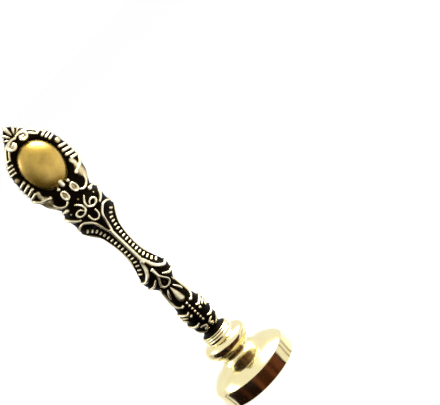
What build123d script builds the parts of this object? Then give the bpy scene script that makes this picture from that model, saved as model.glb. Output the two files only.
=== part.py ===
"""Ornate wax seal stamp: a cast handle, a threaded stud, a loose bead ferrule and a screw-on die head.

Millimetres. The origin is the centre of the die face, +Z runs up the stamp to the tip of the handle and
the front of the handle faces -Y.
"""

import math
import os
from collections import namedtuple

from build123d import *

os.makedirs("parts", exist_ok=True)

# Die head, turned from brass bar
die_diameter = 25.0
rim_height = 4.8
rim_bevel_drop = 0.9
rim_bevel_rise = 1.0
cone_rise = 3.1
neck_height = 0.9
neck_radius = 4.9
engraving_depth = 0.7

# Key engraved in the die face
key_length = 16.0
key_shank_width = 1.3
key_bow_radius = 2.9
key_bow_hole = 1.6
key_bow_sides = 12
key_collar_width = 3.0
key_collar_length = 0.9
key_collar_drop = 1.2
key_bit_reach = 3.6
key_bit_length = 3.2
key_notch_depth = 1.3
key_notch_length = 0.9

# Threaded stud, M4 with a 0.7 mm pitch
stud_radius = 2.0
stud_chamfer = 0.4
thread_engagement = 6.3
stud_end_gap = 0.7
stud_in_handle = 8.0
socket_end_gap = 0.5
running_clearance = 0.08
fixed_clearance = 0.02

# Ferrule, turned from brass bar
ferrule_neck_radius = 4.75
ferrule_neck_height = 1.1
bead_radius = 6.95
bead_facets = 3
bead_below_height = 2.5
bead_crest_height = 1.1
bead_crest_radius = 6.55
bead_cone_height = 1.2
collar_radius = 4.35
collar_height = 2.6

# Handle casting: rise from the level below, half width, half depth
foot_radius = 3.9
foot_neck_rise = 0.9
foot_neck_radius = 2.85
barrel_low_rise = 3.2
barrel_low_radius = 3.65
barrel_rise = 2.8
barrel_radius = 3.85
bud_rise = 5.5
bud_radius = 3.1
bud_neck_rise = 5.3
bud_neck_radius = 2.45
scroll_rise = 5.0
scroll_half_width = 4.4
scroll_half_depth = 3.5
shaft_low_rise = 4.9
shaft_low_half_width = 3.1
shaft_low_half_depth = 2.9
shaft_rise = 5.1
shaft_half_width = 2.45
shaft_half_depth = 2.55
shaft_high_rise = 6.0
shaft_high_half_width = 3.05
shaft_high_half_depth = 2.9
spread_rise = 3.5
spread_half_width = 4.8
spread_half_depth = 3.7
shoulder_low_rise = 2.2
shoulder_low_half_width = 5.55
shoulder_low_half_depth = 4.2
shoulder_rise = 4.8
shoulder_half_width = 5.85
shoulder_half_depth = 4.4
waist_rise = 2.5
waist_half_width = 5.1
waist_half_depth = 4.0
leaf_rise = 4.1
leaf_half_width = 6.9
leaf_half_depth = 3.6
cartouche_rise = 6.9
cartouche_half_width = 8.3
cartouche_half_depth = 3.2
crown_low_rise = 6.0
crown_low_half_width = 7.1
crown_low_half_depth = 3.0
crown_rise = 4.0
crown_half_width = 4.4
crown_half_depth = 2.4
fan_rise = 2.2
fan_half_width = 2.8
fan_half_depth = 1.6
tip_rise = 3.3
tip_half_width = 0.5
tip_half_depth = 0.8

# Shape of a quarter of a body section: 0.55 and 0 give an ellipse, a hollow gives a ridged shaft
full_roundness = 0.55
spread_roundness = 0.3
shaft_roundness = 0.12
spread_hollow = 0.2
shaft_hollow = 0.45
ornament_fill = 0.2
body_sides = 4
dome_sides = 5

# Relief on the casting. Points are a distance from the axis and a rise from the level they are named for
relief = 0.5
shaft_relief = 0.06
ridge_width = 0.9
ridge_end_share = 0.6
dome_half_width = 6.15
dome_half_depth = 5.7
dome_half_height = 8.0
dome_above_cartouche = 1.4
rib_width = 0.8
rib_length = 4.0
rib_inner_radius = 6.1
rib_angle = 11.0
upper_ribs = 3
lower_ribs = 4
boss_angle = 14.0
boss_width = 1.6
fan_root_drop = 0.6
fan_lobe_start = 1.7
fan_lobe_length = 2.7
fan_lobe_width = 0.8
fan_lobe_angle = 28.0
fan_side_lobes = 2
pod_width = 1.4
pod_length = 2.9
pod_place = (1.56, -1.15)
volute_arc = [(1.36, 0.88), (0.94, -1.01), (2.83, -0.59)]
volute_segments = 4
beads_per_row = 10
shaft_bead_radius = 0.5
shaft_bead_sides = 4
drop_radius = 1.45
drop_sides = 6
drop_fall = 3.1
petal = [(0.0, 2.4), (-1.1, -0.8), (-0.6, -2.4), (0.6, -2.4), (1.1, -0.8)]
petal_rise = 2.7
crown_arc = [(2.9, 1.6), (4.3, 0.4), (5.3, -1.4)]
leaf_top_arc = [(8.6, 3.1), (6.5, 1.6), (4.4, 1.5)]
hook_top_arc = [(3.9, 2.3), (5.3, 2.0), (5.9, 0.7)]
hook_low_arc = [(5.9, 0.7), (5.0, -0.6), (3.2, -1.8)]
arch_arc = [(5.9, 0.6), (4.3, 1.9), (2.5, 1.2)]
arch_tail_arc = [(2.5, 1.2), (1.3, -1.0), (0.3, -4.1)]
bead_row = [(3.55, 10.2), (2.3, 8.2), (1.45, 1.0), (2.0, -5.2), (3.05, -7.3)]
low_arch_arc = [(0.3, 4.4), (1.4, 2.2), (3.7, 0.7)]
feather_arc = [(4.3, 1.3), (3.0, 0.3), (1.7, 0.1)]
feather_rises = [-1.9, 1.0, 2.6]
ridge_segments = 2
curl_segments = 3

Station = namedtuple("Station", "level half_width half_depth roundness hollow lift")

head_height = rim_height + rim_bevel_rise + cone_rise + neck_height
collar_level = head_height + ferrule_neck_height + bead_below_height + bead_crest_height + bead_cone_height
foot_level = collar_level + collar_height
foot_neck_level = foot_level + foot_neck_rise
barrel_low_level = foot_neck_level + barrel_low_rise
barrel_level = barrel_low_level + barrel_rise
bud_level = barrel_level + bud_rise
bud_neck_level = bud_level + bud_neck_rise
scroll_level = bud_neck_level + scroll_rise
shaft_low_level = scroll_level + shaft_low_rise
shaft_level = shaft_low_level + shaft_rise
shaft_high_level = shaft_level + shaft_high_rise
spread_level = shaft_high_level + spread_rise
shoulder_low_level = spread_level + shoulder_low_rise
shoulder_level = shoulder_low_level + shoulder_rise
waist_level = shoulder_level + waist_rise
leaf_level = waist_level + leaf_rise
cartouche_level = leaf_level + cartouche_rise
crown_low_level = cartouche_level + crown_low_rise
crown_level = crown_low_level + crown_rise
fan_level = crown_level + fan_rise
tip_level = fan_level + tip_rise
dome_level = cartouche_level + dome_above_cartouche

foot = Station(foot_level, foot_radius, foot_radius, full_roundness, 0, 0)
shaft_form = (shaft_roundness, shaft_hollow, shaft_relief)
stations = [
    Station(foot_neck_level, foot_neck_radius, foot_neck_radius, full_roundness, 0, relief),
    Station(barrel_low_level, barrel_low_radius, barrel_low_radius, full_roundness, 0, relief),
    Station(barrel_level, barrel_radius, barrel_radius, full_roundness, 0, relief),
    Station(bud_level, bud_radius, bud_radius, full_roundness, 0, relief),
    Station(bud_neck_level, bud_neck_radius, bud_neck_radius, full_roundness, 0, relief),
    Station(scroll_level, scroll_half_width, scroll_half_depth, full_roundness, 0, relief),
    Station(shaft_low_level, shaft_low_half_width, shaft_low_half_depth, *shaft_form),
    Station(shaft_level, shaft_half_width, shaft_half_depth, *shaft_form),
    Station(shaft_high_level, shaft_high_half_width, shaft_high_half_depth, *shaft_form),
    Station(spread_level, spread_half_width, spread_half_depth, spread_roundness, spread_hollow, relief / 2),
    Station(shoulder_low_level, shoulder_low_half_width, shoulder_low_half_depth, full_roundness, 0, relief),
    Station(shoulder_level, shoulder_half_width, shoulder_half_depth, full_roundness, 0, relief),
    Station(waist_level, waist_half_width, waist_half_depth, full_roundness, 0, relief),
    Station(leaf_level, leaf_half_width, leaf_half_depth, full_roundness, 0, relief),
    Station(cartouche_level, cartouche_half_width, cartouche_half_depth, full_roundness, 0, relief),
    Station(crown_low_level, crown_low_half_width, crown_low_half_depth, full_roundness, 0, relief),
    Station(crown_level, crown_half_width, crown_half_depth, full_roundness, 0, relief),
    Station(fan_level, fan_half_width, fan_half_depth, full_roundness, 0, relief),
    Station(tip_level, tip_half_width, tip_half_depth, full_roundness, 0, relief / 2),
]

dome_shares = [-0.98, -0.8, -0.45, 0, 0.45, 0.8, 0.98]
dome_stations = []
for share in dome_shares:
    swell = (1 - share**2) ** 0.5
    dome_stations.append(
        Station(
            dome_level + share * dome_half_height,
            swell * dome_half_width,
            swell * dome_half_depth,
            full_roundness,
            0,
            0,
        )
    )


def body_section(station, lift, sides):
    """A closed section of the handle, lifted off the bare casting, with straight sides in each quarter."""
    width = station.half_width + lift
    depth = station.half_depth + lift
    bulge = station.roundness
    keep = 1 - station.hollow * (ornament_fill if lift else 1)
    quarter = []
    for count in range(sides):
        u = count / sides
        bends = [(1 - u) ** 3, 3 * u * (1 - u) ** 2, 3 * u**2 * (1 - u), u**3]
        x = width * (bends[0] + bends[1] * keep + bends[2] * bulge)
        y = depth * (bends[1] * bulge + bends[2] * keep + bends[3])
        quarter.append((x, y))
    half = quarter + [(0, depth)] + [(-x, y) for x, y in quarter[:0:-1]]
    with BuildSketch(Plane.XY.offset(station.level)) as outline:
        with BuildLine():
            Polyline(*half, *[(-x, -y) for x, y in half], close=True)
        make_face()
    return outline.sketch


def raised(points, level):
    """Points of an ornament line, lifted to the level that they are measured from."""
    return [(x, level + rise) for x, rise in points]


def ridge(points, level, segments):
    """Outline of a scroll ridge, a band along the arc through three points that narrows at its ends."""
    line = Edge.make_three_point_arc(*[Vector(x, z) for x, z in raised(points, level)])
    outline = []
    for count in range(segments + 1):
        share = count / segments
        half = ridge_width * (ridge_end_share + (1 - ridge_end_share) * 4 * share * (1 - share)) / 2
        spot = line.position_at(share)
        across = line.tangent_at(share).rotate(Axis.Z, 90) * half
        outline = [spot + across] + outline + [spot - across]
    return outline


with BuildPart() as die_head:
    die_radius = die_diameter / 2
    cone_foot = rim_height + rim_bevel_rise
    with BuildSketch(Plane.XZ):
        with BuildLine():
            Polyline(
                (0, head_height),
                (0, 0),
                (die_radius, 0),
                (die_radius, rim_height),
                (die_radius - rim_bevel_drop, cone_foot),
                (neck_radius, cone_foot + cone_rise),
                (neck_radius, head_height),
                (0, head_height),
            )
        make_face()
    revolve(axis=Axis.Z)
    with Locations((0, 0, head_height)):
        Hole(stud_radius + running_clearance, depth=thread_engagement + stud_end_gap)
    bow_y = key_length / 2 - key_bow_radius
    tip_y = -key_length / 2
    with BuildSketch():
        with Locations((0, tip_y)):
            Rectangle(key_shank_width, bow_y - tip_y, align=(Align.CENTER, Align.MIN))
            Rectangle(key_bit_reach, key_bit_length, align=(Align.MIN, Align.MIN))
        with Locations((key_bit_reach, tip_y + key_bit_length / 2)):
            Rectangle(key_notch_depth, key_notch_length, align=(Align.MAX, Align.CENTER), mode=Mode.SUBTRACT)
        with Locations((0, bow_y - key_bow_radius - key_collar_drop)):
            Rectangle(key_collar_width, key_collar_length)
        with Locations((0, bow_y)):
            RegularPolygon(key_bow_radius, key_bow_sides)
            RegularPolygon(key_bow_hole, key_bow_sides, mode=Mode.SUBTRACT)
    extrude(amount=engraving_depth, mode=Mode.SUBTRACT)
die_head.part.label = "die_head"
export_step(die_head.part, "parts/die_head.step")

with BuildPart() as ferrule:
    bead_foot = head_height + ferrule_neck_height
    bead_middle = bead_foot + bead_below_height
    bead_top = bead_middle + bead_crest_height
    bore_radius = stud_radius + running_clearance
    bead_swell = bead_radius - ferrule_neck_radius
    bead_profile = []
    for count in range(1, bead_facets):
        turn = math.radians(90 * count / bead_facets)
        radius = ferrule_neck_radius + bead_swell * math.sin(turn)
        bead_profile.append((radius, bead_middle - bead_below_height * math.cos(turn)))
    bead_profile += [(bead_radius, bead_middle), (bead_crest_radius, bead_top)]
    with BuildSketch(Plane.XZ):
        with BuildLine():
            Polyline(
                (collar_radius, foot_level),
                (bore_radius, foot_level),
                (bore_radius, head_height),
                (ferrule_neck_radius, head_height),
                (ferrule_neck_radius, bead_foot),
                *bead_profile,
                (collar_radius, collar_level),
                (collar_radius, foot_level),
            )
        make_face()
    revolve(axis=Axis.Z)
ferrule.part.label = "ferrule"
export_step(ferrule.part, "parts/ferrule.step")

with BuildPart() as threaded_stud:
    stud_foot = head_height - thread_engagement
    with Locations((0, 0, stud_foot)):
        Cylinder(
            stud_radius,
            foot_level + stud_in_handle - stud_foot,
            align=(Align.CENTER, Align.CENTER, Align.MIN),
        )
    chamfer(threaded_stud.edges().sort_by(Axis.Z)[0], stud_chamfer)
threaded_stud.part.label = "threaded_stud"
export_step(threaded_stud.part, "parts/threaded_stud.step")

scrolls = [
    (crown_arc, crown_level, ridge_segments),
    (leaf_top_arc, leaf_level, ridge_segments),
    (hook_top_arc, shoulder_level, curl_segments),
    (hook_low_arc, shoulder_level, curl_segments),
    (volute_arc, shoulder_level, volute_segments),
    (arch_arc, shoulder_low_level, curl_segments),
    (arch_tail_arc, shoulder_low_level, ridge_segments),
    (low_arch_arc, scroll_level, ridge_segments),
]
scrolls += [(feather_arc, barrel_level + rise, ridge_segments) for rise in feather_rises]
bead_line = Spline(*raised(bead_row, shaft_level))
bead_spots = [bead_line @ (count / (beads_per_row - 1)) for count in range(beads_per_row)]

with BuildPart() as handle:
    with BuildSketch(Plane.XZ) as ornament:
        for arc, level, segments in scrolls:
            Polygon(*ridge(arc, level, segments), align=None)
        with Locations((0, dome_level)):
            for count in range(-lower_ribs, upper_ribs + 1):
                with PolarLocations(rib_inner_radius, 1, start_angle=boss_angle + count * rib_angle):
                    Rectangle(rib_length, rib_width if count else boss_width, align=(Align.MIN, Align.CENTER))
        with Locations((0, fan_level - fan_root_drop)):
            for count in range(fan_side_lobes):
                with PolarLocations(fan_lobe_start, 1, start_angle=90 - (count + 1) * fan_lobe_angle):
                    Rectangle(fan_lobe_length, fan_lobe_width, align=(Align.MIN, Align.CENTER))
        with Locations(*raised([pod_place], leaf_level)):
            Rectangle(pod_width, pod_length)
        with Locations(*bead_spots):
            RegularPolygon(shaft_bead_radius, shaft_bead_sides)
        mirror(about=Plane.YZ)
        with Locations((0, fan_level - fan_root_drop + fan_lobe_start)):
            Rectangle(fan_lobe_width, fan_lobe_length, align=(Align.CENTER, Align.MIN))
        with Locations((0, scroll_level - drop_fall)):
            RegularPolygon(drop_radius, drop_sides)
        with Locations((0, bud_level + petal_rise)):
            Polygon(*petal)
    extrude(amount=2 * shoulder_half_depth, both=True)
    loft([body_section(station, station.lift, body_sides) for station in stations], mode=Mode.INTERSECT)
    loft([body_section(station, 0, body_sides) for station in stations])
    loft([body_section(station, 0, body_sides) for station in (foot, stations[0])])
    loft([body_section(station, 0, dome_sides) for station in dome_stations])
    with Locations(Location((0, 0, foot_level), (180, 0, 0))):
        Hole(stud_radius + fixed_clearance, depth=stud_in_handle + socket_end_gap)
handle.part.label = "handle"
export_step(handle.part, "parts/handle.step")
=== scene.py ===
"""Looks of the ornate wax seal stamp: antique cast handle, polished brass ferrule and head, threaded stud.

The sizes below are millimetres in the row frame, turned into metres when a mesh is made. The ornament is
given for one quarter of the handle, as a distance from the axis and a level. It is the same left and right,
and front and back.
"""

import math

import bpy
import numpy as np
from mathutils import Matrix, Vector
from mathutils.geometry import delaunay_2d_cdt


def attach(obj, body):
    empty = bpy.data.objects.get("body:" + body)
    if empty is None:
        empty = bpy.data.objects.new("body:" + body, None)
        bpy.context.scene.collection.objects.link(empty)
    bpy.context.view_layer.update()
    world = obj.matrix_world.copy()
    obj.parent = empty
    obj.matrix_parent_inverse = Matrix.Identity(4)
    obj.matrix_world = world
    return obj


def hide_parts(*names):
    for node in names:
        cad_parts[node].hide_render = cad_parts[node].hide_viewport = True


MM = 0.001

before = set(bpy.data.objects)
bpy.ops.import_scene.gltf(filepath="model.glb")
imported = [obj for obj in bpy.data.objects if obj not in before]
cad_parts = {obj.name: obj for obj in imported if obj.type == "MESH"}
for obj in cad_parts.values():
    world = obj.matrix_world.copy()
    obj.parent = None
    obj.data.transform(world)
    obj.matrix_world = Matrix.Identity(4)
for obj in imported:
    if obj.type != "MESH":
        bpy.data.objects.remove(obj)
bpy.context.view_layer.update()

# Camera, fitted to the photograph
IMAGE_SIZE = (440, 405)
FOCAL_PIXELS = 1141
SENSOR_WIDTH = 36
CAMERA_DISTANCE = 305
CAMERA_ELEVATION = math.radians(10.5)
CAMERA_CLIP = 10
AIM_LEVEL = 50
AIM_PIXEL = (130.8, 249.7)
AXIS_SLOPE = math.radians(43.78)

# Threaded stud, M4
STUD_RADIUS = 2.0
STUD_LEVELS = (3.5, 26.3)
STUD_CHAMFER = 0.4
RUNNING_CLEARANCE = 0.08
FIXED_CLEARANCE = 0.02
THREAD_PITCH = 0.7
THREAD_DEPTH = 0.38
THREAD_SIDES = 48
THREAD_ROWS_PER_TURN = 10

# Handle casting under its ornament: level, half width, half depth, roundness, hollow of a quarter section
BODY = [
    (18.3, 3.85, 3.85, 0.55, 0),
    (19.3, 2.75, 2.75, 0.55, 0),
    (21.0, 3.45, 3.4, 0.55, 0),
    (22.4, 3.75, 3.65, 0.55, 0),
    (25.2, 3.95, 3.9, 0.55, 0),
    (28.0, 3.7, 3.6, 0.55, 0),
    (31.5, 3.05, 3.0, 0.55, 0),
    (34.5, 2.6, 2.55, 0.55, 0),
    (36.0, 2.5, 2.45, 0.55, 0),
    (38.5, 3.85, 3.1, 0.5, 0.03),
    (41.0, 4.45, 3.4, 0.45, 0.1),
    (43.0, 3.95, 3.3, 0.3, 0.25),
    (45.9, 2.95, 2.8, 0.14, 0.42),
    (51.0, 2.3, 2.45, 0.12, 0.45),
    (57.0, 2.95, 2.8, 0.14, 0.42),
    (60.5, 4.85, 3.6, 0.3, 0.25),
    (62.7, 5.75, 4.1, 0.48, 0.06),
    (65.0, 5.65, 4.3, 0.55, 0),
    (67.5, 6.0, 4.35, 0.55, 0),
    (69.9, 5.2, 3.95, 0.55, 0),
    (74.1, 7.15, 3.6, 0.55, 0),
    (77.5, 8.25, 3.3, 0.55, 0),
    (81.0, 8.45, 3.2, 0.55, 0),
    (85.0, 8.05, 3.1, 0.55, 0),
    (88.5, 6.75, 2.9, 0.55, 0),
    (91.0, 4.8, 2.3, 0.55, 0),
    (92.2, 3.75, 1.6, 0.55, 0),
    (93.2, 2.85, 0.8, 0.55, 0),
    (94.3, 2.0, 0.5, 0.55, 0),
    (95.3, 1.2, 0.35, 0.55, 0),
    (95.9, 0.4, 0.25, 0.55, 0),
]
SOCKET_RADIUS = STUD_RADIUS + FIXED_CLEARANCE
SOCKET_DEPTH = 8.5

# Fineness of its mesh, which has twice the columns above a level
ROW_STEP = 0.17
QUARTER_STEPS = 80
SAMPLES_PER_STEP = 4
FINE_ABOVE = 70.2
SOFTENING = 0.5

# Dome of the cartouche, and the groove round it, whose width is a share of the dome's size
DOME_LEVEL = 83.2
DOME_HALF_WIDTH = 5.75
DOME_RISE = 6.4
DOME_FALL = 7.9
DOME_EDGE_DEPTH = 2.3
DOME_SWELL = 3.3
DOME_CURVE = 0.6
MOAT_DEPTH = 0.55
MOAT_WIDTH = 0.08

# How the width of an ornament line changes along it
EVEN = (1, 1)
TAPERED = (0.7, 1, 1, 0.7)
CURLED = (0.6, 0.9, 1, 1, 1.1)
SPADE = (0.12, 0.4, 0.7, 0.95, 1)
LEAF = (0.4, 0.9, 1, 0.7)
BLADE = (0.9, 1, 0.62, 0.42, 0.28)
KNOBBED = (1.2, 1, 0.95)

# How flat the crest of ornament is: 1 is a parabola, and less is flatter with steeper sides
LINE_FLATNESS = 0.8
OVER_FLATNESS = 0.6
BEAD_FLATNESS = 0.6
LINE_STEPS = 8

# Lines of ornament: half width, height, polish, shape, points
STROKES = [
    # rim and inner ridge of the crown, and its curls
    (0.34, 0.35, 1, EVEN, [
        (1.2, 92.75), (2.5, 92.55), (3.6, 91.95), (4.6, 91.0), (5.5, 89.9), (6.3, 88.8),
    ]),
    (0.4, 0.4, 0.75, TAPERED, [(2.9, 91.4), (3.6, 90.7), (4.3, 89.9), (4.8, 89.2)]),
    (0.55, 0.85, 1, CURLED, [
        (0.05, 92.3), (0.9, 92.6), (1.9, 92.5), (2.7, 91.95), (2.9, 91.2),
        (2.4, 90.55), (1.6, 90.5), (1.05, 91.0), (1.2, 91.6),
    ]),
    # leaf below the ribs: rolled edge, blade, lower curl, and the facet between it and the dome
    (0.5, 0.7, 1, TAPERED, [(8.6, 78.0), (7.7, 76.7), (6.8, 75.9), (5.7, 75.55), (4.7, 75.25)]),
    (1.65, 0.45, 0.66, BLADE, [(6.0, 75.6), (5.85, 74.5), (5.95, 73.1), (5.7, 72.0), (5.45, 71.0)]),
    (0.4, 0.55, 1, TAPERED, [
        (5.5, 73.2), (5.0, 71.9), (4.0, 71.0), (2.95, 70.85), (2.2, 71.5), (1.8, 72.2),
    ]),
    (0.75, 0.3, 0.8, EVEN, [(6.0, 78.2), (6.3, 77.3), (6.1, 76.5)]),
    # filling of the pod
    (0.5, 0.35, 0.62, EVEN, [(1.6, 73.7), (1.6, 72.1)]),
    # hook and volute of the shoulder, and the loop below them
    (0.52, 0.7, 1, TAPERED, [
        (4.2, 69.75), (5.1, 69.75), (5.8, 69.3), (6.05, 68.5),
        (5.7, 67.7), (5.0, 66.8), (4.2, 66.0), (3.4, 65.5),
    ]),
    (0.42, 0.75, 1, TAPERED, [
        (1.6, 69.5), (0.95, 68.8), (0.45, 67.8), (0.5, 66.8), (1.5, 66.05),
        (2.7, 66.25), (3.15, 67.05), (2.5, 67.75), (1.6, 67.6), (1.2, 67.0),
    ]),
    (0.34, 0.6, 1, EVEN, [(1.15, 65.0), (1.15, 64.0), (0.75, 63.1), (0.0, 62.75)]),
    # arch over the beaded panel, edge of the shaft, and the shaft's centre ridge that the arch runs into
    (0.42, 0.6, 1, TAPERED, [
        (5.7, 63.5), (4.7, 64.3), (3.5, 64.45), (2.6, 63.8), (1.85, 63.1),
        (1.35, 62.2), (0.9, 60.7), (0.5, 59.1), (0.2, 57.9),
    ]),
    (0.5, 0.3, 0.95, EVEN, [
        (6.1, 62.3), (4.8, 60.3), (3.7, 58.4), (3.0, 56.0), (2.55, 53.0),
        (2.4, 50.0), (2.65, 47.5), (3.2, 45.9), (4.2, 44.3),
    ]),
    (0.5, 0.35, 0.9, EVEN, [(0, 58.0), (0, 55.0), (0, 50.0), (0, 45.8)]),
    # low arch, leaf and drop
    (0.58, 0.7, 1, TAPERED, [
        (0.2, 46.2), (0.45, 45.3), (0.9, 43.8), (1.6, 42.6), (2.5, 41.7), (3.4, 41.2), (4.5, 41.7),
    ]),
    (0.42, 0.6, 1, TAPERED, [(1.3, 40.0), (2.1, 39.25), (3.0, 38.8), (4.2, 39.0)]),
    (0.36, 0.6, 1, EVEN, [
        (0, 42.8), (0.05, 41.4), (0.1, 40.4), (0.6, 39.3),
        (1.15, 38.3), (1.25, 37.5), (0.75, 36.75), (0, 36.5),
    ]),
    # bud: spade, side petals and outer leaves
    (1.15, 0.55, 0.85, SPADE, [(0, 35.7), (0, 34.7), (0, 33.6), (0, 32.5), (0, 31.6)]),
    (0.42, 0.5, 1, LEAF, [(0.95, 35.6), (1.35, 34.8), (1.7, 34.0), (1.95, 33.2)]),
    (0.38, 0.55, 1, TAPERED, [
        (2.1, 37.0), (2.4, 35.5), (2.6, 33.8), (2.75, 32.1), (2.65, 30.8), (2.1, 29.95), (1.4, 29.65),
    ]),
    # feathers of the barrel
    (0.42, 0.6, 1, TAPERED, [(4.2, 28.8), (3.5, 28.0), (2.8, 27.5), (1.9, 27.15), (1.45, 27.55)]),
    (0.4, 0.5, 0.8, TAPERED, [(4.2, 27.3), (3.4, 26.7), (2.6, 26.35)]),
    (0.4, 0.5, 1, TAPERED, [(4.2, 26.3), (3.7, 25.8), (3.2, 25.4)]),
    (0.42, 0.6, 1, TAPERED, [(4.3, 24.5), (3.7, 23.6), (3.0, 23.1), (2.2, 23.05), (1.55, 23.3)]),
    # scrolls of the base
    (0.34, 0.5, 1, TAPERED, [
        (1.9, 22.1), (1.2, 22.0), (0.5, 21.55), (0.75, 21.05), (1.25, 20.9), (0.9, 20.5), (0.55, 20.35),
    ]),
    (0.34, 0.45, 1, TAPERED, [(3.4, 21.5), (2.8, 20.7), (2.1, 20.25), (1.4, 20.0)]),
]

# Single beads: radius, height, polish, place
BEADS = [
    (0.42, 0.35, 0.65, (0, 69.95)),
    (0.55, 0.3, 0.4, (0, 38.0)),
    (0.64, 0.8, 1, (4.65, 75.15)),
    (0.68, 0.85, 1, (4.05, 69.7)),
    (0.36, 0.4, 0.65, (4.0, 68.3)),
    (0.52, 0.8, 1, (1.35, 29.65)),
    (0.46, 0.7, 1, (1.55, 26.3)),
    (0.46, 0.6, 1, (0, 92.35)),
    (0.7, 0.6, 0.72, (1.8, 91.4)),
    (0.95, 0.45, 0.7, (7.3, 84.25)),
]

# Loop of the pod: half width, height, polish and shape of its line
POD_LINE = (0.42, 0.7, 1, EVEN)
POD_CENTRE = (1.6, 72.95)
POD_HALF_SIZE = (0.72, 1.25)
POD_STEPS = 12

# Dots down the middle of the barrel
DOT_LEVELS = (23.5, 29.6)
DOT_COUNT = 7
DOT_RADIUS = 0.42
DOT_HEIGHT = 0.45

# Bars across the two beaded panels of the shaft
BEAD_ROW = [
    (4.2, 62.0),
    (3.35, 61.2),
    (2.7, 60.4),
    (2.25, 59.2),
    (1.75, 57.0),
    (1.4, 54.5),
    (1.25, 51.5),
    (1.25, 48.8),
    (1.5, 46.8),
    (2.2, 44.7),
    (2.85, 43.6),
]
BEAD_ROW_COUNT = 17
BEAD_ROW_HALF_WIDTH = 0.37
BEAD_ROW_REACH = 0.3
BEAD_ROW_HEIGHT = 0.5

# Ornament that lies over the foot of the dome, standing on one depth
OVER_DEPTH = 3.3
OVER_STROKES = [(0.8, 0.9, 1, EVEN, [(0, 76.5), (0, 75.9), (0, 75.3)])]
OVER_BEADS = [(0.6, 0.6, 1, (1.7, 75.2))]

# Ribs round the dome above and below the boss: slope, half width, places of their inner ends
RIBS = [
    (0.12, 0.36, [(4.9, 89.3), (5.4, 88.0), (5.8, 87.0), (6.1, 86.0)]),
    (-0.33, 0.45, [(6.1, 82.9), (6.1, 81.45), (6.15, 80.05), (6.6, 78.6)]),
]
RIB_LENGTH = 4.0
RIB_HEIGHT = 0.5

# Palmette on the tip: tip and half width of each lobe, and how the lobes spring from the root and swell
PALMETTE_LOBES = [((0.0, 96.5), 0.62), ((1.95, 95.2), 0.5), ((2.95, 93.85), 0.38)]
PALMETTE_ROOT_LEVEL = 92.4
ROOT_SPREAD = 0.12
ROOT_POLISH = 0.3
LOBE_HALF_DEPTH = 1.25
LOBE_THINNING = 0.4
LOBE_SWELL = 1.35
LOBE_CREST = 0.9
LOBE_SHARES = (0.01, 0.99)
LOBE_RINGS = 18
LOBE_SIDES = 20

# Turned die head: radius and level of its outline, and its threaded hole
HEAD_RADIUS = 12.5
HEAD_FACE_RADIUS = 11.0
HEAD_EDGE = [(12.15, 0.0), (12.4, 0.1), (HEAD_RADIUS, 0.35)]
HEAD_OGEE = [
    (HEAD_RADIUS, 4.45),
    (12.36, 4.85),
    (11.95, 5.35),
    (11.15, 6.1),
    (9.9, 6.9),
    (8.5, 7.5),
    (7.1, 8.05),
    (5.95, 8.7),
    (5.25, 9.3),
    (4.98, 9.65),
]
HEAD_OGEE_STEPS = 6
HEAD_TOP = [(4.9, 9.76), (4.8, 9.8)]
HEAD_BORE_RADIUS = STUD_RADIUS + RUNNING_CLEARANCE
HEAD_BORE_CHAMFER = 0.3
HEAD_BORE_END_LEVEL = 2.8
HEAD_BORE_END_RADIUS = 0.05

# Turned ferrule: radius and level of its outline, and its clear hole
FERRULE_NECK = [(4.6, 9.8), (4.72, 9.86), (4.75, 10.0), (4.75, 10.7)]
FERRULE_BEAD = [
    (4.8, 10.9),
    (5.3, 11.15),
    (6.0, 11.7),
    (6.6, 12.5),
    (6.93, 13.4),
    (6.85, 14.2),
    (6.4, 14.95),
    (5.6, 15.5),
    (4.7, 15.75),
    (4.42, 15.9),
]
FERRULE_BEAD_STEPS = 5
FERRULE_RINGS = [
    (4.36, 16.05),
    (4.36, 16.6),
    (4.3, 16.72),
    (4.02, 16.85),
    (4.02, 17.0),
    (4.3, 17.12),
    (4.38, 17.3),
    (4.3, 17.48),
    (4.02, 17.62),
    (4.02, 17.8),
    (4.28, 17.92),
    (4.34, 18.1),
    (4.2, 18.28),
    (4.05, 18.3),
]
FERRULE_BORE_RADIUS = STUD_RADIUS + RUNNING_CLEARANCE
TURNED_SEGMENTS = 192

# Key engraved in the die face. Its collar is a reach, a length and a drop, and its bit and its notch are
# each a reach and a length
ENGRAVING_DEPTH = 0.7
KEY_LENGTH = 16.0
KEY_HALF_SHANK = 0.65
KEY_BOW_RADIUS = 2.9
KEY_BOW_HOLE = 1.6
KEY_COLLAR = (1.5, 0.9, 1.2)
KEY_BIT = (3.6, 3.2)
KEY_NOTCH = (1.3, 0.9)
KEY_ARC_STEPS = 40
INSIDE_TRIANGLES = 1
PLAN_TOLERANCE = 1e-6
WELD_METRES = 1e-6

# Antique casting: scale per metre and detail of its noises, their shares in the wear, its colours by wear,
# and its bump as a strength and a depth
CAST_PATCHES = (420, 4)
CAST_GRAIN = (2600, 5)
PATCH_WEAR = 0.4
GRAIN_WEAR = 0.25
CAST_COLOURS = [
    (0.0, (0.004, 0.0025, 0.0015)),
    (0.3, (0.01, 0.006, 0.003)),
    (0.45, (0.12, 0.085, 0.036)),
    (0.62, (0.5, 0.4, 0.2)),
    (0.85, (0.83, 0.77, 0.55)),
]
CAST_WEAR_RANGE = (0.2, 0.9)
CAST_ROUGHNESS = (0.58, 0.27)
GRAIN_ROUGHNESS = 0.12
CAST_BUMP = (0.25, 0.08)

# Satin dome on it: the same noises, its own colours, and a clear lacquer
DOME_PATCHES = 0.7
DOME_GRAIN = 0.3
DOME_COLOURS = [(0.3, (0.34, 0.2, 0.012)), (0.5, (0.43, 0.265, 0.018)), (0.7, (0.53, 0.34, 0.03))]
DOME_ROUGHNESS = 0.14
LACQUER_ROUGHNESS = 0.27
LACQUER_INDEX = 1.6

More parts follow.
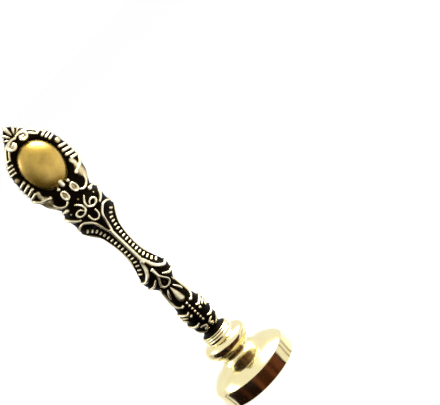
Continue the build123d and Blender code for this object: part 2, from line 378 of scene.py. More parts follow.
# Polished brass
BRASS_RINGS = (5200, 2)
BRASS_PATCHES = (260, 5)
BRASS_CLEAN = (0.92, 0.83, 0.48)
BRASS_TARNISHED = (0.86, 0.73, 0.36)
TARNISH_RANGE = (0.35, 0.75)
BRASS_PATCH_RANGE = (0.3, 0.75)
BRASS_ROUGHNESS = (0.09, 0.17)
RING_ROUGHNESS = 0.05
BRASS_BUMP = (0.12, 0.02)

# Steel of the stud
STEEL_PATCHES = (700, 4)
STEEL_MARKS = (4000, 3)
STEEL_COLOURS = [(0.3, (0.42, 0.42, 0.42)), (0.7, (0.62, 0.61, 0.59))]
STEEL_PATCH_RANGE = (0.3, 0.7)
STEEL_ROUGHNESS = (0.22, 0.4)
STEEL_BUMP = (0.2, 0.03)

# Studio: white floor and surround, and soft boxes as a place, a size and a power in watts
FLOOR_SIZE = 6000
FLOOR_WHITE = 0.95
FLOOR_ROUGHNESS = 0.9
FLOOR_GLOW = 0.75
SKY_LIGHT = 1.0
KEY_LIGHT = ((370, 20, 470), 440, 9.5)
FILL_LIGHT = ((-400, 100, 250), 350, 1.0)
LIGHT_AIM = (0, 0, 45)

# Painted reflection: a dark card on the floor in front, seen only in the metal, that glows in the dark and
# pale streaks which the rim, the bead and the neck show. Each of its edges follows the sight line that
# leaves the rim of the head at an angle from the front, so that its streaks stand upright in the rim. Its
# far side turns up into a wall, whose top is given by angle
CARD_REACH = 38
CARD_LIFT = 0.05
CARD_TOPS = [(-72, 10), (-54, 30), (-30, 34), (-14, 36), (0, 24), (14, 16), (34, 12), (58, 6)]
CARD_STEPS = 65
CARD_ROWS = 3
# Glow colours of the painted reflections and painted shade in the cards
PALE = (1.0, 1.0, 1.0)
DARK = (0.012, 0.005, 0.004)
EMBER = (0.05, 0.015, 0.007)
MAROON = (0.13, 0.042, 0.022)
BROWN = (0.2, 0.1, 0.04)
REFLECTION_STREAKS = [
    (-72, PALE),
    (-62, PALE),
    (-59, BROWN),
    (-56, PALE),
    (-54.5, PALE),
    (-53, DARK),
    (-36, DARK),
    (-31, EMBER),
    (-26, DARK),
    (-15, DARK),
    (-10, MAROON),
    (-5, EMBER),
    (6, EMBER),
    (11, MAROON),
    (16, EMBER),
    (22, MAROON),
    (29, MAROON),
    (33, DARK),
    (34.5, PALE),
    (43, PALE),
    (45, BROWN),
    (47, PALE),
    (51, PALE),
    (53, BROWN),
    (55, PALE),
    (58, PALE),
]

# Painted shade: a dim card to the left that glows faintly, seen only in the metal: it darkens the sides that
# face away from the light. Its fade is 1 where it is white: along its top, and at its first and last angles
SIDE_CARD_ANGLES = (-135, -115, -58, -18)
SIDE_CARD_FADE = (1, 0, 0, 1)
SIDE_CARD_RADII = (38, 300)
SIDE_CARD_TOP = 200
SIDE_CARD_LIFT = 0.02
SIDE_CARD_SHADE_COLOUR = (0.04, 0.028, 0.02)


def smooth_through(levels, values, at):
    """Values on a smooth curve through the given ones that doesn't overshoot them."""
    x = np.array(levels, float)
    y = np.array(values, float)
    step = np.diff(x)
    slope = np.diff(y) / step
    tangent = np.zeros_like(y)
    same_way = slope[:-1] * slope[1:] > 0
    first = 2 * step[1:] + step[:-1]
    second = step[1:] + 2 * step[:-1]
    with np.errstate(divide="ignore", invalid="ignore"):
        mean = (first + second) / (first / slope[:-1] + second / slope[1:])
    tangent[1:-1] = np.where(same_way, mean, 0)
    tangent[0] = slope[0]
    tangent[-1] = slope[-1]
    cell = np.clip(np.searchsorted(x, at) - 1, 0, len(step) - 1)
    t = (at - x[cell]) / step[cell]
    rise = y[cell] * (1 + 2 * t) * (1 - t) ** 2 + y[cell + 1] * t**2 * (3 - 2 * t)
    lean = tangent[cell] * t * (1 - t) ** 2 - tangent[cell + 1] * t**2 * (1 - t)
    return rise + lean * step[cell]


def flowing(points, steps=LINE_STEPS):
    """Points on a smooth line through the given ones."""
    p = np.array(points, float)
    ends = np.vstack([2 * p[0] - p[1], p, 2 * p[-1] - p[-2]])
    t = np.linspace(0, 1, steps, endpoint=False)[:, None]
    runs = []
    for a, b, c, d in zip(ends, ends[1:], ends[2:], ends[3:]):
        bend = 2 * a - 5 * b + 4 * c - d
        runs.append(0.5 * (2 * b + (c - a) * t + bend * t**2 + (3 * b - a - 3 * c + d) * t**3))
    return np.vstack([*runs, p[-1:]])


def raise_line(relief, x, z, stroke, flatness=LINE_FLATNESS):
    """Raises a rounded line in a relief, which holds the height and the polish of the ornament."""
    half_width, height, polish, shape, line = stroke
    path = flowing(line)
    reach = half_width * max(shape)
    low = path.min(axis=0) - reach
    high = path.max(axis=0) + reach
    near = (x > low[0]) & (x < high[0]) & (z > low[1]) & (z < high[1])
    px, pz = x[near], z[near]
    lift = np.zeros(px.shape)
    crest = np.zeros(px.shape)
    shares = np.linspace(0, 1, len(path))
    for a, b, from_share, to_share in zip(path, path[1:], shares, shares[1:]):
        run = b - a
        u = np.clip(((px - a[0]) * run[0] + (pz - a[1]) * run[1]) / (run @ run), 0, 1)
        away = np.hypot(px - a[0] - u * run[0], pz - a[1] - u * run[1])
        swell = np.interp(from_share + u * (to_share - from_share), np.linspace(0, 1, len(shape)), shape)
        inside = np.clip(1 - (away / (half_width * swell)) ** 2, 0, 1) ** flatness
        lift = np.maximum(lift, height * np.sqrt(swell) * inside)
        crest = np.maximum(crest, inside)
    relief[0][near] = np.maximum(relief[0][near], lift)
    relief[1][near] = np.maximum(relief[1][near], polish * crest)


def raise_bead(relief, x, z, bead):
    """Raises a round bead in a relief."""
    radius, height, polish, place = bead
    away = np.hypot(x - place[0], z - place[1])
    crest = np.clip(1 - (away / radius) ** 2, 0, 1) ** BEAD_FLATNESS
    higher = height * crest > relief[0]
    relief[0] = np.where(higher, height * crest, relief[0])
    relief[1] = np.where(higher, polish * crest, relief[1])


def raise_bars(relief, x, z):
    """Raises the bars of a beaded panel, spaced evenly along their row and lying across it."""
    path = flowing(BEAD_ROW)
    runs = np.diff(path, axis=0)
    gone = np.concatenate([[0], np.cumsum(np.hypot(*runs.T))])
    for at in np.linspace(0, gone[-1], BEAD_ROW_COUNT):
        place = np.array([np.interp(at, gone, path[:, 0]), np.interp(at, gone, path[:, 1])])
        run = runs[min(np.searchsorted(gone, at), len(runs) - 1)]
        across = np.array([-run[1], run[0]]) / np.hypot(*run) * BEAD_ROW_REACH
        ends = [place - across, place + across]
        raise_line(relief, x, z, (BEAD_ROW_HALF_WIDTH, BEAD_ROW_HEIGHT, 1, EVEN, ends))


def body_quarter(levels):
    """x and depth of the bare casting over one quarter, from its side to the middle of its front."""
    table = np.array(BODY, float)
    columns = [smooth_through(table[:, 0], table[:, k], levels)[:, None] for k in range(1, 5)]
    width, depth, roundness, hollow = columns
    keep = 1 - hollow
    t = np.linspace(0, 1, SAMPLES_PER_STEP * QUARTER_STEPS + 1)
    side_pull = 3 * t * (1 - t) ** 2
    front_pull = 3 * t**2 * (1 - t)
    x_fine = width * ((1 - t) ** 3 + side_pull * keep + front_pull * roundness)
    y_fine = depth * (side_pull * roundness + front_pull * keep + t**3)
    x = np.zeros((len(levels), QUARTER_STEPS + 1))
    y = np.zeros_like(x)
    for row in range(len(levels)):
        gone = np.concatenate([[0], np.cumsum(np.hypot(np.diff(x_fine[row]), np.diff(y_fine[row])))])
        at = np.linspace(0, gone[-1], QUARTER_STEPS + 1)
        x[row] = np.interp(at, gone, x_fine[row])
        y[row] = np.interp(at, gone, y_fine[row])
    return x, y


def ornament(x, z):
    """Height and polish of the ornament on the bare casting."""
    relief = np.zeros((2, *x.shape))
    for stroke in STROKES:
        raise_line(relief, x, z, stroke)
    for slope, half_width, places in RIBS:
        for inner, level in places:
            ends = [(inner, level), (inner + RIB_LENGTH, level + slope * RIB_LENGTH)]
            raise_line(relief, x, z, (half_width, RIB_HEIGHT, 1, KNOBBED, ends))
    turn = np.linspace(0, 2 * math.pi, POD_STEPS + 1)
    pod = np.column_stack([np.cos(turn), np.sin(turn)]) * POD_HALF_SIZE + POD_CENTRE
    raise_line(relief, x, z, (*POD_LINE, pod))
    raise_bars(relief, x, z)
    for bead in BEADS:
        raise_bead(relief, x, z, bead)
    for level in np.linspace(*DOT_LEVELS, DOT_COUNT):
        raise_bead(relief, x, z, (DOT_RADIUS, DOT_HEIGHT, 1, (0, level)))
    return relief


def over_ornament(x, z):
    """Height and polish of the ornament that lies over the dome."""
    relief = np.zeros((2, *x.shape))
    for stroke in OVER_STROKES:
        raise_line(relief, x, z, stroke, OVER_FLATNESS)
    for bead in OVER_BEADS:
        raise_bead(relief, x, z, bead)
    return relief


def whole_ring(quarter, left_sign, back_sign):
    """A quarter of each row turned into the whole ring, from the right side round the front."""
    out, back = quarter[:, :-1], quarter[:, :0:-1]
    return np.hstack([out, left_sign * back, left_sign * back_sign * out, back_sign * back])


def ring_faces(low, high, count):
    """Faces between two rings of vertices that start at these numbers."""
    k = np.arange(count)
    after = (k + 1) % count
    return np.column_stack([low + after, low + k, high + k, high + after]).tolist()


def mesh_piece(name, points, faces, material, attributes=None):
    """A smooth mesh object of points in millimetres."""
    mesh = bpy.data.meshes.new(name)
    mesh.from_pydata((np.asarray(points, float) * MM).tolist(), [], faces)
    for key, values in (attributes or {}).items():
        mesh.attributes.new(key, "FLOAT", "POINT").data.foreach_set("value", np.asarray(values, np.float32))
    mesh.polygons.foreach_set("use_smooth", [True] * len(mesh.polygons))
    mesh.materials.append(material)
    mesh.validate()
    piece = bpy.data.objects.new(name, mesh)
    bpy.context.scene.collection.objects.link(piece)
    return piece


def soften(field):
    """The field averaged a little with its neighbours."""
    padded = np.pad(field, 1, mode="reflect")
    sides = padded[:-2, 1:-1] + padded[2:, 1:-1] + padded[1:-1, :-2] + padded[1:-1, 2:]
    return (1 - SOFTENING) * field + SOFTENING / 4 * sides


class Shell:
    """Points and faces of the casting as they are made, with the relief and satin of each point."""

    def __init__(self):
        self.points = []
        self.relief = []
        self.satin = []
        self.faces = []
        self.size = 0

    def add(self, points, relief=0.0, satin=0.0):
        """Adds points and gives the number of the first of them."""
        first = self.size
        self.points.append(np.asarray(points, float))
        self.relief.append(np.broadcast_to(relief, len(points)))
        self.satin.append(np.broadcast_to(satin, len(points)))
        self.size += len(points)
        return first

    def piece(self, name, material):
        """The finished mesh object."""
        attributes = {"relief": np.concatenate(self.relief), "satin": np.concatenate(self.satin)}
        return mesh_piece(name, np.vstack(self.points), self.faces, material, attributes)


def outward(x, y):
    """Level directions straight out of the casting over one quarter."""
    run_x, run_y = np.gradient(x, axis=1), np.gradient(y, axis=1)
    length = np.hypot(run_x, run_y)
    out_x, out_y = run_y / length, -run_x / length
    out_x[:, -1] = 0
    out_y[:, 0] = 0
    return out_x, out_y


def casting_surface(levels):
    """x, depth, relief and satin of the ornamented casting over one quarter, row by row."""
    x, y = body_quarter(levels)
    z = np.repeat(levels[:, None], x.shape[1], axis=1)
    height, polish = ornament(x, z)
    span = np.where(z > DOME_LEVEL, DOME_RISE, DOME_FALL)
    ring = np.hypot(x / DOME_HALF_WIDTH, (z - DOME_LEVEL) / span)
    moat = np.exp(-(((ring - 1) / MOAT_WIDTH) ** 2))
    height = soften(height * (1 - moat) - MOAT_DEPTH * moat)
    out_x, out_y = outward(x, y)
    full_x = x + out_x * height
    full_y = y + out_y * height
    dome = DOME_EDGE_DEPTH + DOME_SWELL * np.clip(1 - ring**2, 0, 1) ** DOME_CURVE
    on_dome = (ring < 1) & (dome > full_y)
    full_y = np.where(on_dome, dome, full_y)
    over, over_polish = over_ornament(x, z)
    raised = OVER_DEPTH + soften(over)
    on_top = (over > 0) & (raised > full_y)
    full_y = np.where(on_top, raised, full_y)
    satin = np.where(on_dome & ~on_top, 1.0, 0.0)
    relief = np.where(on_dome, 1, soften(polish * (1 - moat)))
    relief = np.where(on_top, over_polish, relief)
    return full_x, full_y, relief, satin


def add_socket(shell, level):
    """The blind hole in the foot. Gives the number of the first point of its mouth."""
    count = 2 * QUARTER_STEPS
    turn = -np.linspace(0, 2 * math.pi, count, endpoint=False)
    circle = SOCKET_RADIUS * np.column_stack([np.cos(turn), np.sin(turn)])
    end = shell.add(np.column_stack([circle, np.full(count, level + SOCKET_DEPTH)]))
    mouth = shell.add(np.column_stack([circle, np.full(count, level)]))
    middle = shell.add([(0, 0, level + SOCKET_DEPTH)])
    shell.faces += ring_faces(end, mouth, count)
    shell.faces += [[end + k, end + (k + 1) % count, middle] for k in range(count)]
    return mouth


def join_doubled(low, high, count):
    """Faces from a ring to one above it with twice the points."""
    faces = []
    for k in range(count):
        a, b = low + k, low + (k + 1) % count
        first, second, third = [high + (2 * k + n) % (2 * count) for n in range(3)]
        faces += [[first, second, a], [b, a, second], [second, third, b]]
    return faces


def add_lobe(shell, root, tip, half_width):
    """One lobe of the palmette, a drop that swells towards its tip."""
    root, tip = np.array(root, float), np.array(tip, float)
    along = tip - root
    across = np.array([along[1], -along[0]]) / np.hypot(*along)
    turn = np.linspace(0, 2 * math.pi, LOBE_SIDES, endpoint=False)
    rings = []
    for share in np.linspace(*LOBE_SHARES, LOBE_RINGS):
        swell = LOBE_SWELL * share**0.5 * (1 - share**4) ** 0.5
        flat = root + along * share + np.outer(half_width * swell * np.cos(turn), across)
        depth = LOBE_HALF_DEPTH * (1 - LOBE_THINNING * share) * swell * np.sin(turn)
        relief = np.abs(np.sin(turn)) ** LOBE_CREST * min(1, ROOT_POLISH + share)
        rings.append(shell.add(np.column_stack([flat[:, 0], depth, flat[:, 1]]), relief))
    for low, high in zip(rings, rings[1:]):
        shell.faces += [face[::-1] for face in ring_faces(low, high, LOBE_SIDES)]
    shell.faces.append([rings[0] + k for k in range(LOBE_SIDES)][::-1])
    shell.faces.append([rings[-1] + k for k in range(LOBE_SIDES)])


def add_palmette(shell):
    """The lobes on the tip, the same left and right."""
    for (tip_x, tip_level), half_width in PALMETTE_LOBES:
        for side in [1, -1] if tip_x else [1]:
            root = (side * ROOT_SPREAD * tip_x, PALMETTE_ROOT_LEVEL)
            add_lobe(shell, root, (side * tip_x, tip_level), half_width)


def make_handle(material):
    """The casting: rows of a quarter mirrored into whole rings, closed by the socket and the tip."""
    foot, tip = BODY[0][0], BODY[-1][0]
    levels = np.linspace(foot, tip, round((tip - foot) / ROW_STEP) + 1)
    x, y, relief, satin = casting_surface(levels)
    shell = Shell()
    below = add_socket(shell, foot)
    count = 2 * QUARTER_STEPS
    for row, level in enumerate(levels):
        pick = slice(row, row + 1), slice(None, None, 1 if level > FINE_ABOVE else 2)
        ring_x = whole_ring(x[pick], -1, 1)[0]
        ring_y = whole_ring(-y[pick], 1, -1)[0]
        points = np.column_stack([ring_x, ring_y, np.full(len(ring_x), level)])
        here = shell.add(points, whole_ring(relief[pick], 1, 1)[0], whole_ring(satin[pick], 1, 1)[0])
        if len(points) == count:
            shell.faces += ring_faces(below, here, count)
        else:
            shell.faces += join_doubled(below, here, count)
        below = here
        count = len(points)
    top = shell.add([(0, 0, tip)], 1.0)
    shell.faces += [[below + (k + 1) % count, below + k, top] for k in range(count)]
    add_palmette(shell)
    return shell.piece("handle_casting", material)


def turned(profile):
    """Points and faces of a profile turned about the axis. It runs out along the bottom, up and back in."""
    turn = -np.linspace(0, 2 * math.pi, TURNED_SEGMENTS, endpoint=False)
    points, faces = [], []
    for radius, level in profile:
        points += [(radius * math.cos(t), radius * math.sin(t), level) for t in turn]
    for row in range(len(profile) - 1):
        faces += ring_faces(row * TURNED_SEGMENTS, (row + 1) * TURNED_SEGMENTS, TURNED_SEGMENTS)
    return points, faces


def make_ferrule(material):
    """The turned ferrule, with its bead, ring grooves and clear hole."""
    foot, top = FERRULE_NECK[0][1], FERRULE_RINGS[-1][1]
    bead = flowing(FERRULE_BEAD, FERRULE_BEAD_STEPS).tolist()
    outside = [*FERRULE_NECK, *bead, *FERRULE_RINGS]
    profile = [(FERRULE_BORE_RADIUS, foot), *outside, (FERRULE_BORE_RADIUS, top)]
    points, faces = turned(profile)
    faces += ring_faces((len(profile) - 1) * TURNED_SEGMENTS, 0, TURNED_SEGMENTS)
    return mesh_piece("turned_ferrule", points, faces, material)


def key_outline():
    """The engraved key's outline and the island in its bow."""
    bow = KEY_LENGTH / 2 - KEY_BOW_RADIUS
    tip = -KEY_LENGTH / 2
    bit_reach, bit_length = KEY_BIT
    notch_reach, notch_length = KEY_NOTCH
    notch_low = tip + (bit_length - notch_length) / 2
    notch_high = notch_low + notch_length
    notch_end = bit_reach - notch_reach
    collar_reach, collar_length, collar_drop = KEY_COLLAR
    collar_high = bow - KEY_BOW_RADIUS - collar_drop + collar_length / 2
    collar_low = collar_high - collar_length
    side = KEY_HALF_SHANK
    outline = [(-side, tip), (bit_reach, tip), (bit_reach, notch_low), (notch_end, notch_low)]
    outline += [(notch_end, notch_high), (bit_reach, notch_high)]
    outline += [(bit_reach, tip + bit_length), (side, tip + bit_length)]
    outline += [(side, collar_low), (collar_reach, collar_low)]
    outline += [(collar_reach, collar_high), (side, collar_high)]
    gap = math.asin(side / KEY_BOW_RADIUS)
    for t in np.linspace(gap - math.pi / 2, 1.5 * math.pi - gap, KEY_ARC_STEPS):
        outline.append((KEY_BOW_RADIUS * math.cos(t), bow + KEY_BOW_RADIUS * math.sin(t)))
    outline += [(-side, collar_high), (-collar_reach, collar_high)]
    outline += [(-collar_reach, collar_low), (-side, collar_low)]
    turn = np.linspace(0, 2 * math.pi, KEY_ARC_STEPS, endpoint=False)
    island = [(KEY_BOW_HOLE * math.cos(t), bow + KEY_BOW_HOLE * math.sin(t)) for t in turn]
    return outline, island


def within(point, outline):
    """True if a point is inside a closed outline."""
    inside = False
    for (ax, ay), (bx, by) in zip(outline, outline[1:] + outline[:1]):
        straddled = (ay > point[1]) != (by > point[1])
        if straddled and point[0] < ax + (point[1] - ay) * (bx - ax) / (by - ay):
            inside = not inside
    return inside


def loop_edges(loops):
    """Pairs of neighbours round closed loops whose points are numbered one loop after the other."""
    edges = []
    start = 0
    for loop in loops:
        edges += [(start + k, start + (k + 1) % len(loop)) for k in range(len(loop))]
        start += len(loop)
    return edges


def engraved_face(rim):
    """Points and faces of the die face inside a ring of points, with the key sunk into it."""
    outline, island = key_outline()
    flat = [Vector(p) for p in [*rim, *outline, *island]]
    edges = loop_edges([rim, outline, island])
    cut = delaunay_2d_cdt(flat, edges, [], INSIDE_TRIANGLES, PLAN_TOLERANCE)
    plan = [tuple(p) for p in cut[0]]
    points = [(x, y, 0.0) for x, y in plan]
    points += [(x, y, ENGRAVING_DEPTH) for x, y in plan[len(rim):]]
    sunk = len(plan) - len(rim)
    faces = []
    for triangle in cut[2]:
        middle = np.mean([plan[k] for k in triangle], axis=0)
        low = within(middle, outline) and not within(middle, island)
        faces.append([k + sunk * low for k in triangle[::-1]])
    walls = edges[len(rim):]
    faces += [[b, a, a + sunk, b + sunk] for a, b in walls[:len(outline)]]
    faces += [[a, b, b + sunk, a + sunk] for a, b in walls[len(outline):]]
    return points, faces


def make_head(material):
    """The turned die head with its ogee, threaded hole and engraved face."""
    top = HEAD_TOP[-1][1]
    ogee = flowing(HEAD_OGEE, HEAD_OGEE_STEPS).tolist()
    profile = [(HEAD_FACE_RADIUS, 0.0), *HEAD_EDGE, *ogee, *HEAD_TOP]
    profile += [(HEAD_BORE_RADIUS + HEAD_BORE_CHAMFER, top), (HEAD_BORE_RADIUS, top - HEAD_BORE_CHAMFER)]
    profile += [(HEAD_BORE_RADIUS, HEAD_BORE_END_LEVEL), (HEAD_BORE_END_RADIUS, HEAD_BORE_END_LEVEL)]
    points, faces = turned(profile)
    rim = [p[:2] for p in points[:TURNED_SEGMENTS]][::-1]
    face_points, face_faces = engraved_face(rim)
    faces += [[n + len(points) for n in face] for face in face_faces]
    last = (len(profile) - 1) * TURNED_SEGMENTS
    faces.append([last + k for k in range(TURNED_SEGMENTS)][::-1])
    piece = mesh_piece("turned_die_head", points + face_points, faces, material)
    weld = piece.modifiers.new("weld", "WELD")
    weld.merge_threshold = WELD_METRES
    return piece


def make_stud(material):
    """The threaded stud, with a real helical thread that fades out at its chamfered ends."""
    low, high = STUD_LEVELS
    rows = round((high - low) / THREAD_PITCH * THREAD_ROWS_PER_TURN)
    turn = -np.linspace(0, 2 * math.pi, THREAD_SIDES, endpoint=False)
    points, faces = [], []
    for row in range(rows + 1):
        level = low + (high - low) * row / rows
        from_end = min(level - low, high - level)
        chamfer = STUD_RADIUS - max(0, STUD_CHAMFER - from_end)
        for t in turn:
            phase = (level / THREAD_PITCH - t / (2 * math.pi)) % 1
            groove = THREAD_DEPTH * abs(2 * phase - 1)
            radius = min(STUD_RADIUS - groove, chamfer)
            points.append((radius * math.cos(t), radius * math.sin(t), level))
    for row in range(rows):
        faces += ring_faces(row * THREAD_SIDES, (row + 1) * THREAD_SIDES, THREAD_SIDES)
    faces.append(list(range(THREAD_SIDES)))
    faces.append([rows * THREAD_SIDES + k for k in range(THREAD_SIDES)][::-1])
    return mesh_piece("threaded_stud_m4", points, faces, material)


class Nodes:
    """A new material's node tree, with short ways to add and join nodes."""

    def __init__(self, name):
        self.material = bpy.data.materials.new(name)
        self.material.use_nodes = True
        self.tree = self.material.node_tree
        self.shader = self.tree.nodes["Principled BSDF"]

    def add(self, kind, settings=None, inputs=None):
        """A new node with these settings and inputs."""
        made = self.tree.nodes.new("ShaderNode" + kind)
        for key, value in (settings or {}).items():
            setattr(made, key, value)
        for key, value in (inputs or {}).items():
            self.put(made, key, value)
        return made

    def put(self, made, key, value):
        """Sets an input of a node, or joins it to a socket."""
        if isinstance(value, bpy.types.NodeSocket):
            self.tree.links.new(value, made.inputs[key])
        else:
            made.inputs[key].default_value = value

    def attribute(self, name):
        """A value that the mesh holds for each of its points."""
        return self.add("Attribute", {"attribute_name": name}).outputs["Fac"]

    def math(self, operation, a, b=0.0, clamp=False):
        """What an operation makes of two values."""
        return self.add("Math", {"operation": operation, "use_clamp": clamp}, {0: a, 1: b}).outputs[0]

    def vary(self, value, noise, amount, clamp=False):
        """The value made a little larger or smaller by a noise about 0.5."""
        change = self.math("MULTIPLY", self.math("SUBTRACT", noise, 0.5), amount)
        return self.math("ADD", value, change, clamp)

    def ramp(self, value, stops):
        """Colours by value."""
        made = self.add("ValToRGB", None, {"Fac": value})
        elements = made.color_ramp.elements
        while len(elements) < len(stops):
            elements.new(0.5)
        for element, (at, colour) in zip(elements, stops):
            element.position = at
            element.color = (*colour, 1)
        return made.outputs["Color"]

    def spread(self, value, before, after):
        """The value taken from one range to another."""
        inputs = {"Value": value, "From Min": before[0], "From Max": before[1]}
        inputs |= {"To Min": after[0], "To Max": after[1]}
        return self.add("MapRange", None, inputs).outputs["Result"]

    def mix(self, share, a, b):
        """One colour where the share is 0, and another where it is 1."""
        made = self.add("Mix", {"data_type": "RGBA"}, {0: share})
        for key, colour in [(6, a), (7, b)]:
            self.put(made, key, colour if isinstance(colour, bpy.types.NodeSocket) else (*colour, 1))
        return made.outputs[2]

    def noise(self, scale, detail, vector=None):
        """A noise over the object, or over another vector."""
        place = vector or self.add("TexCoord").outputs["Object"]
        return self.add("TexNoise", None, {"Scale": scale, "Detail": detail, "Vector": place}).outputs["Fac"]

    def metal(self, colour, roughness, height, bump):
        """Makes the material a metal with this colour, roughness and bump."""
        strength, depth = bump
        made = self.add("Bump", None, {"Strength": strength, "Distance": depth * MM, "Height": height})
        self.put(self.shader, "Base Color", colour)
        self.put(self.shader, "Metallic", 1)
        self.put(self.shader, "Roughness", roughness)
        self.put(self.shader, "Normal", made.outputs["Normal"])

    def seen_directly(self):
        """1 for camera, glossy and transmission rays."""
        path = self.add("LightPath").outputs
        mirrored = self.math("MAXIMUM", path["Is Glossy Ray"], path["Is Transmission Ray"])
        return self.math("MAXIMUM", path["Is Camera Ray"], mirrored)

    def show(self, made):
        """Makes a shader node the surface of the material."""
        self.put(self.tree.nodes["Material Output"], "Surface", made.outputs[0])

    def glow_only(self, colour):
        """Makes the material a plain glow of this colour."""
        self.tree.nodes.remove(self.shader)
        self.show(self.add("Emission", None, {"Color": colour}))


def antique_casting():
    """Cast brass with a dark patina in its recesses and bright raised work, and a lacquered satin dome."""
    n = Nodes("antique_casting")
    satin = n.attribute("satin")
    patches = n.noise(*CAST_PATCHES)
    grain = n.noise(*CAST_GRAIN)
    worn = n.vary(n.vary(n.attribute("relief"), patches, PATCH_WEAR), grain, GRAIN_WEAR, True)
    cast = n.ramp(worn, CAST_COLOURS)
    mottle = n.math("ADD", n.math("MULTIPLY", patches, DOME_PATCHES), n.math("MULTIPLY", grain, DOME_GRAIN))
    dome = n.ramp(mottle, DOME_COLOURS)
    rubbed = n.spread(worn, CAST_WEAR_RANGE, CAST_ROUGHNESS)
    rough = n.math("ADD", rubbed, n.math("MULTIPLY", satin, DOME_ROUGHNESS))
    roughness = n.vary(rough, grain, GRAIN_ROUGHNESS)
    n.metal(n.mix(satin, cast, dome), roughness, n.math("ADD", grain, patches), CAST_BUMP)
    n.put(n.shader, "Coat Weight", satin)
    n.put(n.shader, "Coat Roughness", LACQUER_ROUGHNESS)
    n.put(n.shader, "Coat IOR", LACQUER_INDEX)
    return n.material


def polished_brass():
    """Turned and polished brass with fine rings from the lathe and a trace of tarnish."""
    n = Nodes("polished_brass")
    place = n.add("TexCoord").outputs["Object"]
    parts = n.add("SeparateXYZ", None, {"Vector": place}).outputs
    across = n.add("CombineXYZ", None, {"X": parts["X"], "Y": parts["Y"]}).outputs[0]
    radius = n.add("VectorMath", {"operation": "LENGTH"}, {0: across}).outputs["Value"]
    ringed = n.add("CombineXYZ", None, {"X": radius, "Z": parts["Z"]}).outputs[0]
    rings = n.noise(*BRASS_RINGS, ringed)
    patches = n.noise(*BRASS_PATCHES)
    tarnish = n.spread(patches, TARNISH_RANGE, (0, 1))
    smooth = n.spread(patches, BRASS_PATCH_RANGE, BRASS_ROUGHNESS)
    roughness = n.math("ADD", smooth, n.math("MULTIPLY", rings, RING_ROUGHNESS))
    n.metal(n.mix(tarnish, BRASS_CLEAN, BRASS_TARNISHED), roughness, rings, BRASS_BUMP)
    return n.material


def thread_steel():
    """Plain machined steel with a trace of oil and fine tool marks."""
    n = Nodes("thread_steel")
    patches = n.noise(*STEEL_PATCHES)
    roughness = n.spread(patches, STEEL_PATCH_RANGE, STEEL_ROUGHNESS)
    n.metal(n.ramp(patches, STEEL_COLOURS), roughness, n.noise(*STEEL_MARKS), STEEL_BUMP)
    return n.material


def make_floor():
    """A plain white floor that keeps the object's shadow."""
    n = Nodes("floor_white")
    n.put(n.shader, "Base Color", (FLOOR_WHITE, FLOOR_WHITE, FLOOR_WHITE, 1))
    n.put(n.shader, "Roughness", FLOOR_ROUGHNESS)
    n.put(n.shader, "Specular IOR Level", 0)
    share = n.math("MULTIPLY", n.seen_directly(), FLOOR_GLOW)
    glow = n.add("Emission")
    n.show(n.add("MixShader", None, {0: share, 1: n.shader.outputs[0], 2: glow.outputs[0]}))
    half = FLOOR_SIZE / 2
    corners = [(-half, -half, 0), (half, -half, 0), (half, half, 0), (-half, half, 0)]
    floor = mesh_piece("floor", corners, [(0, 1, 2, 3)], n.material)


def make_world():
    """A plain white surround, which is also a soft light."""
    world = bpy.data.worlds.new("studio")
    bpy.context.scene.world = world
    world.use_nodes = True
    surround = world.node_tree.nodes["Background"]
    surround.inputs["Color"].default_value = (1, 1, 1, 1)
    surround.inputs["Strength"].default_value = SKY_LIGHT


def soft_light(name, place, size, power):
    """A square soft box turned to the object."""
    data = bpy.data.lights.new(name, "AREA")
    data.size = size * MM
    data.energy = power
    light = bpy.data.objects.new(name, data)
    light.location = Vector(place) * MM
    light.rotation_mode = "QUATERNION"
    light.rotation_quaternion = (Vector(LIGHT_AIM) - Vector(place)).to_track_quat("-Z", "Y")
    bpy.context.scene.collection.objects.link(light)


def folded_card(name, near, far, lift, tops, material, attributes):
    """A card on the floor from one line of points to another, where it turns up into a wall."""
    points, faces = [], []
    for inner, outer, top in zip(near, far, tops):
        points += [(*inner, lift), (*outer, lift), (*outer, top)]
    for k in range(0, len(points) - CARD_ROWS, CARD_ROWS):
        after = k + CARD_ROWS
        faces += [[k + row, after + row, after + row + 1, k + row + 1] for row in range(CARD_ROWS - 1)]
    card = mesh_piece(name, points, faces, material, attributes)
    # Seen only by glossy rays, so its glow shows only as painted reflection or painted shade in the metal
    card.visible_camera = False
    card.visible_diffuse = False
    card.visible_shadow = False
    card.visible_transmission = False


def heading(degrees):
    """A level direction at an angle from the front, to the right."""
    turn = math.radians(degrees)
    return np.array([math.sin(turn), -math.cos(turn)])


def make_front_reflection_card():
    """The dark streaked card whose glow is a painted reflection in the rim, the bead and the neck."""
    low, high = REFLECTION_STREAKS[0][0], REFLECTION_STREAKS[-1][0]
    n = Nodes("front_card")
    stops = [((angle - low) / (high - low), colour) for angle, colour in REFLECTION_STREAKS]
    n.glow_only(n.ramp(n.attribute("share"), stops))
    angles = np.linspace(low, high, CARD_STEPS + 1)
    near = [HEAD_RADIUS * heading(angle) for angle in angles]
    far = [point + CARD_REACH * heading(2 * angle) for point, angle in zip(near, angles)]
    tops = np.interp(angles, *zip(*CARD_TOPS))
    shares = np.repeat((angles - low) / (high - low), CARD_ROWS)
    folded_card("front_card", near, far, CARD_LIFT, tops, n.material, {"share": shares})


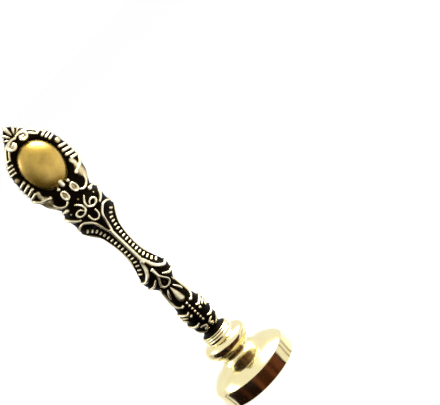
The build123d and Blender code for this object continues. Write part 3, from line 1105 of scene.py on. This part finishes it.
def make_side_shade_card():
    """The dim card to the left, whose faint glow paints shade into the metal's reflections."""
    n = Nodes("side_card")
    n.glow_only(n.mix(n.attribute("fade"), SIDE_CARD_SHADE_COLOUR, PALE))
    angles = np.linspace(SIDE_CARD_ANGLES[0], SIDE_CARD_ANGLES[-1], CARD_STEPS + 1)
    near, far = [[radius * heading(angle) for angle in angles] for radius in SIDE_CARD_RADII]
    ends = np.interp(angles, SIDE_CARD_ANGLES, SIDE_CARD_FADE)
    fade = np.column_stack([ends, ends, np.ones_like(ends)]).ravel()
    tops = np.full(len(angles), SIDE_CARD_TOP)
    folded_card("side_card", near, far, SIDE_CARD_LIFT, tops, n.material, {"fade": fade})


def make_camera():
    """The photograph's camera: its distance, height, roll and the place of the object in the frame."""
    data = bpy.data.cameras.new("camera")
    data.sensor_width = SENSOR_WIDTH
    data.lens = FOCAL_PIXELS * SENSOR_WIDTH / IMAGE_SIZE[0]
    data.clip_start = CAMERA_CLIP * MM
    camera = bpy.data.objects.new("camera", data)
    bpy.context.scene.collection.objects.link(camera)
    back = Vector((0, -math.cos(CAMERA_ELEVATION), math.sin(CAMERA_ELEVATION)))
    up = Vector((0, math.sin(CAMERA_ELEVATION), math.cos(CAMERA_ELEVATION)))
    right = Vector((1, 0, 0))
    lean, drop = math.sin(AXIS_SLOPE), math.cos(AXIS_SLOPE)
    rolled = Matrix((right * lean - up * drop, right * drop + up * lean, back)).transposed()
    sight = Vector((AIM_PIXEL[0] - IMAGE_SIZE[0] / 2, IMAGE_SIZE[1] / 2 - AIM_PIXEL[1], -FOCAL_PIXELS))
    swing = sight.rotation_difference(Vector((0, 0, -1))).to_matrix()
    place = Vector((0, 0, AIM_LEVEL * MM)) + back * CAMERA_DISTANCE * MM
    camera.matrix_world = Matrix.Translation(place) @ (rolled @ swing).to_4x4()
    bpy.context.scene.camera = camera


def dress(piece, body, node):
    """A piece rides on its body and stands for its CAD node."""
    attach(piece, body)
    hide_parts(node)


brass = polished_brass()
dress(make_handle(antique_casting()), "handle", "handle")
dress(make_stud(thread_steel()), "handle", "threaded_stud")
dress(make_ferrule(brass), "ferrule", "ferrule")
dress(make_head(brass), "die_head", "die_head")

make_world()
make_floor()
make_front_reflection_card()
make_side_shade_card()
soft_light("key", *KEY_LIGHT)
soft_light("fill", *FILL_LIGHT)
make_camera()
bpy.context.scene.view_settings.view_transform = "Standard"
